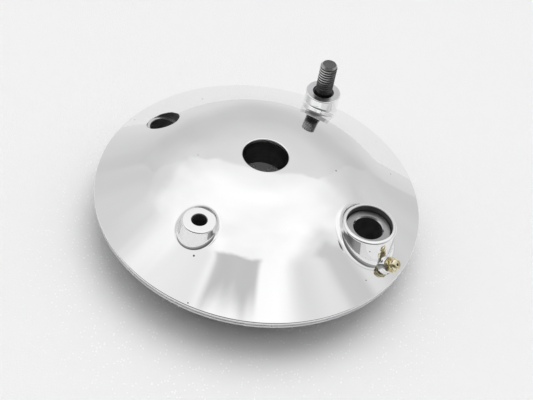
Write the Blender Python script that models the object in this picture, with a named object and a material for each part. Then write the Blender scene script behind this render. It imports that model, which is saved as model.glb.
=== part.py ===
"""Polished drum-brake back plate with its spindle sleeve, cam bush, anchor stud and grease nipple.

Metres, +Z up. The origin is on the wheel axis, in the plane of the inner hub's end face, on which
the plate stands. Lengths below are in millimetres and are scaled by MM where meshes are made.
"""

import math

import bmesh
import bpy
from mathutils import Matrix, Vector

MM = 0.001
GAP = 0.3                      # clearance kept between pieces that touch

# ---- Back plate casting -------------------------------------------------------------------
RIM_RADIUS = 95.0
RIM_TOP = 25.0                 # height of the rim's upper edge above the hub's end face
CROWN_HEIGHT = 28.2            # crown above the rim's upper edge, at the wheel axis
SKIRT_START = 70.0             # radius where the crown runs into the straight conical skirt
SKIRT_ANGLE = math.radians(30)
WALL = 5.2                     # casting thickness, measured along the wheel axis
LIP_HEIGHT = 3.8
LIP_GROOVE = (1.7, 2.2, 0.5)   # top and bottom of the groove below the lip's edge, and its depth
REGISTER_RADII = (86.0, 89.5)  # spigot that centres the plate in the drum
REGISTER_HEIGHT = 3.7
HUB_RADII = (20.8, 22.5)       # outside of the inner hub, at its end face and at its root
BORE_RADIUS = 13.0             # opening in the crown
SLEEVE_BORE = 15.3             # bore of the hub behind the opening's shoulder
SHOULDER = 2.0                 # thickness of the crown left in front of the sleeve
WEB_WIDTH = 6.0
WEB_BOTTOM = 29.0
FACE_HEIGHT = 49.0             # all outer bosses are faced off in one plane

# ---- Bosses: centre x, centre y ------------------------------------------------------------
CAM_CENTRE = (62.2, -32.6)
STUD_CENTRE = (27.1, 71.0)
SMALL_CENTRE = (-27.3, -53.6)
PIVOT_CENTRE = (-64.0, 27.5)

CAM_BOSS_RADII = (14.9, 15.4)  # at the face and at the foot
CAM_FLARE = 18.4               # radius where the foot's curve meets the crown
CAM_ROUNDING = 1.2             # rounding of the face's edge
CAM_INNER_RADIUS = 14.0
CAM_INNER_END = 15.0
CAM_RECESS_RADIUS = 12.7
CAM_RECESS_DEPTH = 3.8

STUD_BOSS_RADII = (10.8, 11.0)
STUD_FLARE = 13.4
STUD_ROUNDING = 0.6
STUD_INNER_RADIUS = 11.4
STUD_INNER_END = 22.0
STUD_HOLE = 5.6
STUD_SINK = 6.5
STUD_SINK_DEPTH = 1.6

SMALL_BOSS_RADII = (9.2, 10.6)
SMALL_FLARE = 12.2
SMALL_ROUNDING = 0.9
SMALL_INNER_RADIUS = 10.0
SMALL_INNER_END = 26.0
SMALL_HOLE = 3.97

PIVOT_INNER_RADIUS = 13.0
PIVOT_INNER_END = 22.0
PIVOT_HOLE = 7.5
PIVOT_RECESS_RADIUS = 9.4
PIVOT_RECESS_FLOOR = 34.0

# ---- Pieces fitted to the casting ---------------------------------------------------------
SLEEVE_RADII = (13.1, 15.0)
SLEEVE_BOTTOM = 34.4
BUSH_BORE = 7.92
BUSH_BODY = 10.2
BUSH_FLANGE = 12.3
BUSH_FLANGE_THICKNESS = 2.0
BUSH_BOTTOM = 15.6
STUD_RADIUS = 5.25
STUD_TOP = 70.3
STUD_CHAMFER = 1.6
STUD_COLLAR = (9.0, 4.0)       # radius and thickness of the collar behind the plate

# ---- Grease nipple: its own axis leaves the foot of the cam boss --------------------------
NIPPLE_AZIMUTH = math.radians(-39)
NIPPLE_TILT = math.radians(46)
NIPPLE_SEAT = (19.4, 32.3)     # distance from the cam bore's axis, and height
NIPPLE_PAD = 3.9
HEX_RADIUS = 4.62              # across corners / 2, for an 8 mm spanner
HEX_HEIGHT = 2.9
SHANK_RADIUS = 2.9
SHANK_LENGTH = 5.0
HEAD_RADIUS = 3.25
HEAD_TOP = 6.4
CHAMBER_RADIUS = 1.65
TIP_RADIUS = 0.75
BALL_RADIUS = 1.15
BALL_HEIGHT = HEAD_TOP - 2.0
SPRING_WIRE = 0.13
SPRING_RADIUS = 0.95
SPRING_TURNS = 6
SPRING_SPAN = (-1.35, 2.75)    # centre line of the wire at its two ends
SEAT_RING = (0.6, 1.35, -2.6, -1.8)   # inner radius, outer radius, bottom, top
GREASE_WAY = 1.6

ROUND = 72                     # facets round the plate
SMALL_ROUND = 32               # facets round a boss or a bush


def crown(radius):
    """Height of the outer surface above the rim's upper edge."""
    skirt_drop = (RIM_RADIUS - SKIRT_START) * math.tan(SKIRT_ANGLE)
    if radius > SKIRT_START:
        return skirt_drop - (radius - SKIRT_START) * math.tan(SKIRT_ANGLE)
    drop = CROWN_HEIGHT - skirt_drop
    power = math.tan(SKIRT_ANGLE) * SKIRT_START / drop
    return CROWN_HEIGHT - drop * (radius / SKIRT_START) ** power


def outer_height(radius):
    return RIM_TOP + crown(radius)


def inner_height(radius):
    return outer_height(radius) - WALL


def steps(start, end, count):
    return [start + (end - start) * index / count for index in range(count + 1)]


# ---- Mesh helpers -------------------------------------------------------------------------
def material(name, colour, metallic, roughness):
    made = bpy.data.materials.new(name)
    made.use_nodes = True
    shader = made.node_tree.nodes["Principled BSDF"]
    shader.inputs["Base Color"].default_value = (*colour, 1.0)
    shader.inputs["Metallic"].default_value = metallic
    shader.inputs["Roughness"].default_value = roughness
    return made


def add_object(name, mesh_data, finish=None):
    """Turns a bmesh in millimetres into an object, shaded smooth except at its sharp edges."""
    bmesh.ops.recalc_face_normals(mesh_data, faces=mesh_data.faces)
    bmesh.ops.scale(mesh_data, vec=(MM, MM, MM), verts=mesh_data.verts)
    mesh = bpy.data.meshes.new(name)
    mesh_data.to_mesh(mesh)
    mesh_data.free()
    mesh.shade_smooth()
    mesh.set_sharp_from_angle(angle=math.radians(32))
    made = bpy.data.objects.new(name, mesh)
    bpy.context.scene.collection.objects.link(made)
    if finish:
        mesh.materials.append(finish)
    return made


def lathe(profile, count, closed, phase=0.0):
    """Turns (radius, height) points about Z. A closed profile makes a ring; an open one makes a
    solid with a flat cap at each end."""
    turned = bmesh.new()
    angles = [phase + 2 * math.pi * index / count for index in range(count)]
    rings = [[turned.verts.new((radius * math.cos(a), radius * math.sin(a), height))
              for a in angles] for radius, height in profile]
    pairs = list(zip(rings, rings[1:]))
    if closed:
        pairs.append((rings[-1], rings[0]))
    else:
        turned.faces.new(rings[0])
        turned.faces.new(rings[-1])
    for lower, upper in pairs:
        for index in range(count):
            following = (index + 1) % count
            turned.faces.new((lower[index], lower[following], upper[following], upper[index]))
    return turned


def place(mesh_data, centre, height=0.0):
    bmesh.ops.translate(mesh_data, vec=(centre[0], centre[1], height), verts=mesh_data.verts)
    return mesh_data


def rod(radius, low, high, centre=(0.0, 0.0), count=SMALL_ROUND):
    return place(lathe([(radius, low), (radius, high)], count, False), centre)


def boolean(target, tool, operation):
    modifier = target.modifiers.new(f"{operation} {tool.name}", "BOOLEAN")
    modifier.operation = operation
    modifier.solver = "EXACT"
    modifier.object = tool
    tool.hide_render = True
    tool.display_type = "WIRE"


def join(target, name, mesh_data):
    boolean(target, add_object(f"add_{name}", mesh_data), "UNION")


def cut(target, name, mesh_data):
    boolean(target, add_object(f"cut_{name}", mesh_data), "DIFFERENCE")


def bore(cutter, centre, radius, recess_radius, recess_floor):
    """Adds to a cutter a hole through the whole height, wider above its recess floor."""
    low = 5.0
    high = FACE_HEIGHT + 5.0
    profile = [(radius, low), (radius, recess_floor), (recess_radius, recess_floor),
               (recess_radius, high)]
    hole = place(lathe(profile, SMALL_ROUND, False), centre)
    mesh = bpy.data.meshes.new("hole")
    hole.to_mesh(mesh)
    hole.free()
    cutter.from_mesh(mesh)
    bpy.data.meshes.remove(mesh)


def nipple_frame():
    """Matrix from the nipple's own frame, +Z out of the plate, to the plate's, in millimetres."""
    away, height = NIPPLE_SEAT
    heading = Vector((math.cos(NIPPLE_AZIMUTH), math.sin(NIPPLE_AZIMUTH), 0.0))
    axis = heading * math.cos(NIPPLE_TILT) + Vector((0, 0, math.sin(NIPPLE_TILT)))
    origin = Vector((*CAM_CENTRE, 0.0)) + heading * away + Vector((0, 0, height))
    return Matrix.Translation(origin) @ axis.to_track_quat("Z", "Y").to_matrix().to_4x4()


def on_nipple(mesh_data):
    bmesh.ops.transform(mesh_data, matrix=nipple_frame(), verts=mesh_data.verts)
    return mesh_data


# ---- The casting --------------------------------------------------------------------------
def shell_profile():
    """Closed section of the plate: crown, skirt, lip, register, underside, hub and its bore."""
    groove_top, groove_bottom, groove_depth = LIP_GROOVE
    lip_bottom = RIM_TOP - LIP_HEIGHT
    register_bottom = lip_bottom - REGISTER_HEIGHT
    register_in, register_out = REGISTER_RADII
    hub_end, hub_root = HUB_RADII
    shoulder = outer_height(BORE_RADIUS) - SHOULDER
    points = [(BORE_RADIUS, shoulder), (BORE_RADIUS, outer_height(BORE_RADIUS) - 0.6)]
    points += [(r, outer_height(r)) for r in steps(BORE_RADIUS + 0.7, SKIRT_START, 8)]
    points += [(RIM_RADIUS - 0.5, outer_height(RIM_RADIUS - 0.5)), (RIM_RADIUS, RIM_TOP - 0.4)]
    points += [
        (RIM_RADIUS, RIM_TOP - groove_top),
        (RIM_RADIUS - groove_depth, RIM_TOP - groove_top),
        (RIM_RADIUS - groove_depth, RIM_TOP - groove_bottom),
        (RIM_RADIUS - 0.2, RIM_TOP - groove_bottom),
        (RIM_RADIUS - 0.2, lip_bottom),
        (register_out, lip_bottom),
        (register_out, register_bottom + 0.5),
        (register_out - 0.5, register_bottom),
        (register_in, register_bottom),
    ]
    points += [(r, inner_height(r)) for r in steps(register_in, hub_root, 7)]
    points += [
        (hub_end, 0.6),
        (hub_end - 0.6, 0.0),
        (SLEEVE_BORE + 0.6, 0.0),
        (SLEEVE_BORE, 0.6),
        (SLEEVE_BORE, shoulder),
    ]
    return points


def boss(centre, radii, rounding, inner_radius, inner_end):
    """Outer boss and, in line with it, the inner boss behind the wall."""
    face_radius, foot_radius = radii
    foot = inner_height(math.hypot(*centre))
    profile = [
        (face_radius - rounding, FACE_HEIGHT),
        (face_radius - 0.3 * rounding, FACE_HEIGHT - 0.3 * rounding),
        (face_radius, FACE_HEIGHT - rounding),
        (foot_radius, foot),
        (inner_radius, foot - 2.0),
        (inner_radius - 0.4, inner_end + 0.6),
        (inner_radius - 1.0, inner_end),
    ]
    return place(lathe(profile, SMALL_ROUND, False), centre)


def flare(centre, wall_radius, flare_radius):
    """Rounded foot of a boss. Its heights are measured from the crown below each point, so that it
    is as tall on the boss's uphill side as on its downhill side."""
    rise = flare_radius - wall_radius
    profile = [(flare_radius + 0.5, -1.2), (flare_radius, 0.15),
               (wall_radius + 0.35 * rise, 0.35 * rise), (wall_radius - 0.7, rise)]
    foot = lathe(profile, SMALL_ROUND, False, phase=math.pi / SMALL_ROUND)
    place(foot, centre)
    for vertex in foot.verts:
        vertex.co.z += outer_height(math.hypot(vertex.co.x, vertex.co.y))
    return foot


def pivot_boss():
    """Inner boss round the pivot hole. Its upper end is buried in the wall all the way round."""
    middle = inner_height(math.hypot(*PIVOT_CENTRE))
    solid = rod(PIVOT_INNER_RADIUS, PIVOT_INNER_END, middle, PIVOT_CENTRE)
    for vertex in solid.verts:
        if vertex.co.z > PIVOT_INNER_END:
            vertex.co.z = outer_height(math.hypot(vertex.co.x, vertex.co.y)) - 1.5
    return solid


def web(centre, end_radius):
    """Rib on the underside from the hub to an inner boss."""
    rib = bmesh.new()
    bmesh.ops.create_cube(rib, size=1.0)
    start = SLEEVE_BORE + 3.0
    stop = math.hypot(*centre) - end_radius + 3.0
    top = inner_height(stop) + 2.0
    bmesh.ops.scale(rib, vec=(stop - start, WEB_WIDTH, top - WEB_BOTTOM), verts=rib.verts)
    bmesh.ops.translate(rib, vec=((start + stop) / 2, 0, (top + WEB_BOTTOM) / 2), verts=rib.verts)
    turn = Matrix.Rotation(math.atan2(centre[1], centre[0]), 3, "Z")
    bmesh.ops.rotate(rib, matrix=turn, verts=rib.verts)
    return rib


def brake_plate(finish):
    plate = add_object("brake_plate", lathe(shell_profile(), ROUND, True), finish)
    webs = {"cam": (CAM_CENTRE, CAM_INNER_RADIUS), "stud": (STUD_CENTRE, STUD_BOSS_RADII[1]),
            "small": (SMALL_CENTRE, SMALL_BOSS_RADII[1]), "pivot": (PIVOT_CENTRE, PIVOT_INNER_RADIUS)}
    for name, (centre, end_radius) in webs.items():
        join(plate, f"{name}_web", web(centre, end_radius))

    join(plate, "cam_boss", boss(
        CAM_CENTRE, CAM_BOSS_RADII, CAM_ROUNDING, CAM_INNER_RADIUS, CAM_INNER_END))
    join(plate, "cam_flare", flare(CAM_CENTRE, CAM_BOSS_RADII[1], CAM_FLARE))
    join(plate, "stud_boss", boss(
        STUD_CENTRE, STUD_BOSS_RADII, STUD_ROUNDING, STUD_INNER_RADIUS, STUD_INNER_END))
    join(plate, "stud_flare", flare(STUD_CENTRE, STUD_BOSS_RADII[1], STUD_FLARE))
    join(plate, "small_boss", boss(
        SMALL_CENTRE, SMALL_BOSS_RADII, SMALL_ROUNDING, SMALL_INNER_RADIUS, SMALL_INNER_END))
    join(plate, "small_flare", flare(SMALL_CENTRE, SMALL_BOSS_RADII[1] - 0.4, SMALL_FLARE))
    join(plate, "pivot_boss", pivot_boss())
    join(plate, "nipple_pad", on_nipple(rod(NIPPLE_PAD, -7.0, 0.0)))

    recess = FACE_HEIGHT - CAM_RECESS_DEPTH - BUSH_FLANGE_THICKNESS - GAP
    bores = bmesh.new()
    bore(bores, CAM_CENTRE, BUSH_BODY + GAP, CAM_RECESS_RADIUS, recess)
    bore(bores, STUD_CENTRE, STUD_HOLE, STUD_SINK, FACE_HEIGHT - STUD_SINK_DEPTH)
    bore(bores, SMALL_CENTRE, SMALL_HOLE, SMALL_HOLE + 0.6, FACE_HEIGHT - 0.6)
    bore(bores, PIVOT_CENTRE, PIVOT_HOLE, PIVOT_RECESS_RADIUS, PIVOT_RECESS_FLOOR)
    cut(plate, "bores", bores)
    way = lathe([(GREASE_WAY, -14.0), (GREASE_WAY, -SHANK_LENGTH - 0.6),
                 (SHANK_RADIUS + GAP, -SHANK_LENGTH - 0.6), (SHANK_RADIUS + GAP, 1.0)], 16, False)
    cut(plate, "grease_way", on_nipple(way))
    return plate


# ---- Fitted pieces ------------------------------------------------------------------------
def spindle_sleeve(finish):
    inside, outside = SLEEVE_RADII
    top = outer_height(BORE_RADIUS) - SHOULDER - GAP
    profile = [(inside, SLEEVE_BOTTOM), (inside, top), (outside - 0.4, top), (outside, top - 0.4),
               (outside, SLEEVE_BOTTOM + 0.4), (outside - 0.4, SLEEVE_BOTTOM)]
    add_object("spindle_sleeve", lathe(profile, ROUND, True), finish)


def cam_bush(finish):
    top = FACE_HEIGHT - CAM_RECESS_DEPTH
    flange = top - BUSH_FLANGE_THICKNESS
    profile = [(BUSH_BORE, BUSH_BOTTOM), (BUSH_BORE, top - 0.6), (BUSH_BORE + 0.6, top),
               (BUSH_FLANGE, top), (BUSH_FLANGE, flange), (BUSH_BODY, flange),
               (BUSH_BODY, BUSH_BOTTOM + 0.5), (BUSH_BODY - 0.5, BUSH_BOTTOM)]
    bush = add_object("cam_bush", place(lathe(profile, SMALL_ROUND, True), CAM_CENTRE), finish)
    cut(bush, "bush_way", on_nipple(rod(GREASE_WAY, -16.5, 0.0, count=16)))


def anchor_stud(finish):
    """Stud with a threaded end outside and, behind the plate, a collar with two flats."""
    collar_radius, collar_height = STUD_COLLAR
    collar_top = STUD_INNER_END - GAP
    bottom = collar_top - collar_height
    profile = [(STUD_RADIUS - STUD_CHAMFER, STUD_TOP),
               (STUD_RADIUS, STUD_TOP - STUD_CHAMFER), (STUD_RADIUS, collar_top),
               (collar_radius, collar_top), (collar_radius, bottom + 0.8),
               (collar_radius - 0.8, bottom)]
    stud = add_object("anchor_stud", place(lathe(profile, SMALL_ROUND, False), STUD_CENTRE), finish)
    for side in (-1, 1):
        flat = bmesh.new()
        bmesh.ops.create_cube(flat, size=1.0)
        bmesh.ops.scale(flat, vec=(8.0, 30.0, collar_height + 1.0), verts=flat.verts)
        across = side * (collar_radius - 1.8 + 4.0)
        middle = bottom + (collar_height - 1.0) / 2
        place(flat, (STUD_CENTRE[0] + across, STUD_CENTRE[1]), middle)
        cut(stud, "flat_left" if side < 0 else "flat_right", flat)


def nipple_body(finish):
    """Hexagon, neck, round head and shank in one piece, with the ball's chamber down its middle."""
    neck = HEX_RADIUS * 0.52
    outside = [(SHANK_RADIUS - 0.5, -SHANK_LENGTH), (SHANK_RADIUS, -SHANK_LENGTH + 0.5),
               (SHANK_RADIUS, HEX_HEIGHT - 1.5), (neck, HEX_HEIGHT), (neck, HEAD_TOP - 2.8),
               (HEAD_RADIUS, HEAD_TOP - 2.1), (HEAD_RADIUS, HEAD_TOP - 1.4),
               (HEAD_RADIUS - 0.5, HEAD_TOP - 0.6), (HEAD_RADIUS - 1.35, HEAD_TOP),
               (TIP_RADIUS, HEAD_TOP)]
    chamber = [(TIP_RADIUS, HEAD_TOP - 0.4), (CHAMBER_RADIUS, HEAD_TOP - 1.5),
               (CHAMBER_RADIUS, -SHANK_LENGTH)]
    turned = lathe(outside + chamber, 30, True)
    body = add_object("nipple_body", on_nipple(turned), finish)
    hexagon = lathe([(2.2, GAP), (HEX_RADIUS - 0.3, GAP), (HEX_RADIUS, GAP + 0.3),
                     (HEX_RADIUS, HEX_HEIGHT - 0.4), (HEX_RADIUS - 0.5, HEX_HEIGHT),
                     (2.2, HEX_HEIGHT)], 6, True, math.radians(15))
    join(body, "hexagon", on_nipple(hexagon))


def nipple_ball(finish):
    ball = bmesh.new()
    bmesh.ops.create_uvsphere(ball, u_segments=16, v_segments=10, radius=BALL_RADIUS)
    made = add_object("nipple_ball", ball, finish)
    centre = nipple_frame() @ Matrix.Translation((0, 0, BALL_HEIGHT))
    made.location = centre.to_translation() * MM


def nipple_spring(finish):
    """Round wire wound as a helix along the nipple's axis."""
    low, high = SPRING_SPAN
    per_turn = 12
    count = SPRING_TURNS * per_turn
    wire = bpy.data.curves.new("nipple_spring", "CURVE")
    wire.dimensions = "3D"
    wire.bevel_depth = SPRING_WIRE * MM
    wire.bevel_resolution = 1
    wire.use_fill_caps = True
    line = wire.splines.new("POLY")
    line.points.add(count)
    frame = nipple_frame()
    for index, point in enumerate(line.points):
        angle = 2 * math.pi * index / per_turn
        height = low + (high - low) * index / count
        place_at = frame @ Vector((SPRING_RADIUS * math.cos(angle),
                                   SPRING_RADIUS * math.sin(angle), height))
        point.co = (*(place_at * MM), 1.0)
    made = bpy.data.objects.new("nipple_spring", wire)
    bpy.context.scene.collection.objects.link(made)
    wire.materials.append(finish)


def nipple_seat(finish):
    """Ring staked in the chamber, on which the spring rests."""
    inside, outside, bottom, top = SEAT_RING
    profile = [(inside, bottom), (inside, top), (outside, top), (outside, bottom)]
    add_object("nipple_seat", on_nipple(lathe(profile, 24, True)), finish)


def build():
    for existing in list(bpy.data.objects):
        bpy.data.objects.remove(existing, do_unlink=True)
    polished = material("polished_aluminium", (0.86, 0.86, 0.87), 1.0, 0.05)
    sleeve_steel = material("sleeve_steel", (0.10, 0.10, 0.10), 1.0, 0.35)
    bush_steel = material("bush_steel", (0.40, 0.40, 0.41), 1.0, 0.35)
    black_steel = material("blackened_steel", (0.08, 0.08, 0.08), 1.0, 0.38)
    brass = material("brass", (0.70, 0.58, 0.30), 1.0, 0.22)
    bright_steel = material("bright_steel", (0.60, 0.60, 0.62), 1.0, 0.2)
    brake_plate(polished)
    spindle_sleeve(sleeve_steel)
    cam_bush(bush_steel)
    anchor_stud(black_steel)
    nipple_body(brass)
    nipple_ball(bright_steel)
    nipple_spring(bright_steel)
    nipple_seat(bright_steel)


build()
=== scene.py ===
"""Looks of the drum-brake back plate: polished casting, threaded stud, cam bush, grease nipple.

Lengths are in millimetres in the part's own frame, +Z up, with the origin on the wheel axis in the
plane of the hub's end face. They are scaled by MM where meshes are made.
"""

import math

import bmesh
import bpy
import numpy as np
from mathutils import Matrix, Vector
from mathutils.geometry import delaunay_2d_cdt


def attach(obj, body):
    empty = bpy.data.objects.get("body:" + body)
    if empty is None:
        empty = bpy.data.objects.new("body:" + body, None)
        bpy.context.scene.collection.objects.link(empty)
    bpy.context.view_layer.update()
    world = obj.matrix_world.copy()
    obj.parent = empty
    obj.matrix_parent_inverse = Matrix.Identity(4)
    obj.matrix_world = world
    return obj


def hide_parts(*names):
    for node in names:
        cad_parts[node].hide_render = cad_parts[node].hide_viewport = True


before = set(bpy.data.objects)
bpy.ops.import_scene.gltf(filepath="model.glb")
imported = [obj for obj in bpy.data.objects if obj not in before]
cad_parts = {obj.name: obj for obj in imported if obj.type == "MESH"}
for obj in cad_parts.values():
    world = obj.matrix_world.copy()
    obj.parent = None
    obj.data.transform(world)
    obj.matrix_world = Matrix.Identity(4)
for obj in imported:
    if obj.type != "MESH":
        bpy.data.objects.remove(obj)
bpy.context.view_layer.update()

MM = 0.001

# ---- The casting --------------------------------------------------------------------------
RIM_RADIUS = 95.0
RIM_TOP = 25.0
CROWN_HEIGHT = 28.2
SKIRT_START = 70.0
SKIRT_SLOPE = math.tan(math.radians(30))
WALL = 5.2
LIP_HEIGHT = 3.8
LIP_GROOVE = (1.7, 2.2, 0.7)   # its upper and lower edges below the rim's, and its depth
REGISTER_RADII = (86.0, 89.5)
REGISTER_HEIGHT = 3.7
BORE_RADIUS = 13.0
SLEEVE_BORE = 15.3
SHOULDER = 2.0
BORE_EDGE = 0.7                # width of the crown opening's rounded edge
RIM_EDGE = 0.6                 # width of the rim's rounded edge
HUB_RADIUS = 20.8
HUB_CHAMFER = 0.6
WEB_WIDTH = 6.0
WEB_BOTTOM = 29.0
WEB_LAP = 3.0                  # how far a web's ends reach into the hub and the boss
FACE_HEIGHT = 49.0

CAM_CENTRE = (62.2, -32.6)
STUD_CENTRE = (27.1, 71.0)
SMALL_CENTRE = (-27.3, -53.6)
PIVOT_CENTRE = (-64.0, 27.5)

FIT = 0.3                      # clearance between pieces that touch
FACE_EDGE = 0.15               # broken edge where a faced boss meets its hole
CAM_EDGE = 0.3                 # the same round the cam boss's recess
CAM_RECESS = (12.7, 3.8)       # radius and depth down to the bush's flange
BUSH_BORE = 7.92
BUSH_BODY = 10.2
BUSH_FLANGE = (12.3, 2.0)      # radius and thickness
BUSH_BOTTOM = 15.6
BUSH_EDGE = 0.6                # chamfer round the bush's bore, given a brighter steel as a painted highlight
PIVOT_RECESS = (9.4, 34.0)     # radius and height of its floor
PIVOT_HOLE = 7.5
PIVOT_EDGE = 0.3               # broken edges of the recess and of its hole
SMALL_HOLE = 3.97
SMALL_CHAMFER = 0.35
STUD_HOLE = 5.6
STUD_SINK = (6.5, 1.2, 1.6)    # countersink: radius, depth of its wall, depth of its cone
STUD_RADIUS = 5.25
STUD_TOP = 70.3
STUD_COLLAR = (9.0, 4.0, 7.2)  # radius, thickness, half the width across the flats
STUD_INNER_END = 22.0
THREAD_PITCH = 1.8
THREAD_DEPTH = 0.8
THREAD_LENGTH = 19.5
THREAD_FLAT = 0.12             # share of the pitch that the crest's flat takes, and the root's
STUD_CHAMFER = (1.5, 0.8)      # height, and how much its radius shrinks per height

NIPPLE_AZIMUTH = math.radians(-39)
NIPPLE_TILT = math.radians(46)
NIPPLE_SEAT = (19.4, 32.3)     # distance from the cam bore's axis, and height
PAD_RADIUS = 3.7               # face under the hexagon
HEX_RADIUS = 4.62              # across the corners / 2
HEX_HEIGHT = 2.9
SHANK_RADIUS = 2.9
SHANK_LENGTH = 5.0
HEAD_RADIUS = 3.25
HEAD_TOP = 6.4
HEAD_FACE = 1.5                # radius of the head's flat tip
CHAMBER_RADIUS = 1.65
TIP_RADIUS = 0.75              # hole in the tip

# Outer bosses: centre, face radius, foot radius, radius where the foot has run out into the crown,
# height of the foot's curve, rounding of the face's edge, edge of the hole or recess in the face.
OUTER_BOSSES = {
    "cam": (CAM_CENTRE, 14.9, 15.4, 18.9, 3.4, 1.3, CAM_RECESS[0]),
    "stud": (STUD_CENTRE, 10.8, 11.0, 13.9, 2.8, 0.6, STUD_SINK[0]),
    "small": (SMALL_CENTRE, 9.2, 10.4, 12.7, 2.2, 1.0, SMALL_HOLE + SMALL_CHAMFER),
}
# Inner bosses: centre, end radius, foot radius, foot's outer radius, height of its curve, end
# height, hole radius at the end.
INNER_BOSSES = {
    "cam": (CAM_CENTRE, 13.4, 14.0, 17.0, 3.0, 15.0, BUSH_BODY + 0.1),
    "stud": (STUD_CENTRE, 11.0, 11.4, 14.0, 2.4, STUD_INNER_END, STUD_HOLE),
    "small": (SMALL_CENTRE, 9.7, 10.0, 13.0, 3.0, 26.0, SMALL_HOLE),
    "pivot": (PIVOT_CENTRE, 12.6, 13.0, 15.5, 2.5, 22.0, PIVOT_HOLE),
}
END_CHAMFER = 0.5              # at the inner ends of the bores
HUB_FOOT = (22.5, 27.0, 4.5)   # root radius, radius where the foot runs out, height of its curve

AROUND_PLATE = 360             # facets round the plate
AROUND_BOSS = 96               # facets round a boss
FINE_STEP = 2.3                # size of the crown's triangles

# BORE is the slot for bores, recesses and the countersink, darkened with painted shade.
POLISHED, MACHINED, CAST, BORE = range(4)


def crown(radius):
    """Height of the outer surface at a distance from the wheel axis."""
    radius = np.asarray(radius, float)
    skirt_top = (RIM_RADIUS - SKIRT_START) * SKIRT_SLOPE
    drop = CROWN_HEIGHT - skirt_top
    power = SKIRT_SLOPE * SKIRT_START / drop
    dome = CROWN_HEIGHT - drop * (np.minimum(radius, SKIRT_START) / SKIRT_START) ** power
    skirt = skirt_top - (radius - SKIRT_START) * SKIRT_SLOPE
    return RIM_TOP + np.where(radius > SKIRT_START, skirt, dome)


def crown_slope(radius):
    step = 0.01
    return (crown(radius + step) - crown(radius - step)) / (2 * step)


def underside(radius):
    return crown(radius) - WALL


# ---- Patches: grids or triangles of points, each point with the way its surface faces -----
class Patches:
    """Collects patches of one mesh. Neighbouring patches share the points of their edges."""

    def __init__(self):
        self.points = []
        self.normals = []
        self.faces = []
        self.slots = []
        self.total = 0

    def add(self, points, normals, faces, slot):
        points = np.asarray(points, float)
        normals = np.asarray(normals, float)
        normals = normals / np.linalg.norm(normals, axis=1, keepdims=True)
        for face in faces:
            a, b, c = (points[face[0]], points[face[1]], points[face[-1]])
            out = np.cross(points[face[1]] - a, c - a) + np.cross(points[face[-2]] - b, a - b)
            if out @ normals[list(face)].sum(axis=0) < 0:
                face = face[::-1]
            self.faces.append([index + self.total for index in face])
            self.slots.append(slot)
        self.points.append(points)
        self.normals.append(normals)
        self.total += len(points)

    def grid(self, points, normals, slot):
        """A grid of rows by columns whose last column meets its first."""
        rows, columns = points.shape[:2]
        faces = []
        for row in range(rows - 1):
            for column in range(columns):
                after = (column + 1) % columns
                faces.append((row * columns + column, row * columns + after,
                              (row + 1) * columns + after, (row + 1) * columns + column))
        self.add(points.reshape(-1, 3), normals.reshape(-1, 3), faces, slot)

    def turned(self, profile, slot, centre=(0, 0), around=AROUND_BOSS, soft=False):
        """Turns (radius, height) points. The surface faces the right-hand side of the way that the
        profile runs: in across a top face, down a hole, out across an underside."""
        profile = np.asarray(profile, float)
        ways = np.diff(profile, axis=0)
        facing = np.stack([ways[:, 1], -ways[:, 0]], axis=1)
        facing /= np.linalg.norm(facing, axis=1, keepdims=True)
        if soft:
            joined = np.vstack([facing[:1], facing[:-1] + facing[1:], facing[-1:]])
            self._turn(profile, joined, slot, centre, around)
            return
        for index, way in enumerate(facing):
            self._turn(profile[index:index + 2], np.stack([way, way]), slot, centre, around)

    def _turn(self, profile, facing, slot, centre, around):
        angle = np.arange(around) * 2 * math.pi / around
        spoke = np.stack([np.cos(angle), np.sin(angle), np.zeros(around)], axis=1)
        up = np.array([0.0, 0.0, 1.0])
        middle = np.array([*centre, 0.0])
        points = middle + profile[:, :1, None] * spoke + profile[:, 1:, None] * up
        normals = facing[:, :1, None] * spoke + facing[:, 1:, None] * up
        self.grid(points, normals, slot)

    def build(self, name, materials, matrix=None):
        """One mesh object, welded where patches meet, keeping how each patch's corners face."""
        mesh = bpy.data.meshes.new(name)
        mesh.from_pydata(np.vstack(self.points).tolist(), [], self.faces)
        for material in materials:
            mesh.materials.append(material)
        mesh.polygons.foreach_set("material_index", self.slots)
        corners = np.empty(len(mesh.loops), int)
        mesh.loops.foreach_get("vertex_index", corners)
        facing = mesh.attributes.new("facing", "FLOAT_VECTOR", "CORNER")
        facing.data.foreach_set("vector", np.vstack(self.normals)[corners].ravel())
        welded = bmesh.new()
        welded.from_mesh(mesh)
        bmesh.ops.remove_doubles(welded, verts=welded.verts, dist=0.0005)
        bmesh.ops.dissolve_degenerate(welded, edges=welded.edges, dist=0.00001)
        welded.to_mesh(mesh)
        welded.free()
        normals = np.empty(len(mesh.loops) * 3)
        mesh.attributes["facing"].data.foreach_get("vector", normals)
        mesh.attributes.remove(mesh.attributes["facing"])
        normals = normals.reshape(-1, 3)
        if matrix is not None:
            mesh.transform(matrix)
            normals = normals @ np.array(matrix.to_3x3()).T
        mesh.transform(Matrix.Scale(MM, 4))
        mesh.shade_smooth()
        mesh.normals_split_custom_set(normals.tolist())
        made = bpy.data.objects.new(name, mesh)
        bpy.context.scene.collection.objects.link(made)
        return made


def ring(centre, radius, count):
    angle = np.arange(count) * 2 * math.pi / count
    return np.stack([centre[0] + radius * np.cos(angle), centre[1] + radius * np.sin(angle)], axis=1)


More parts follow.
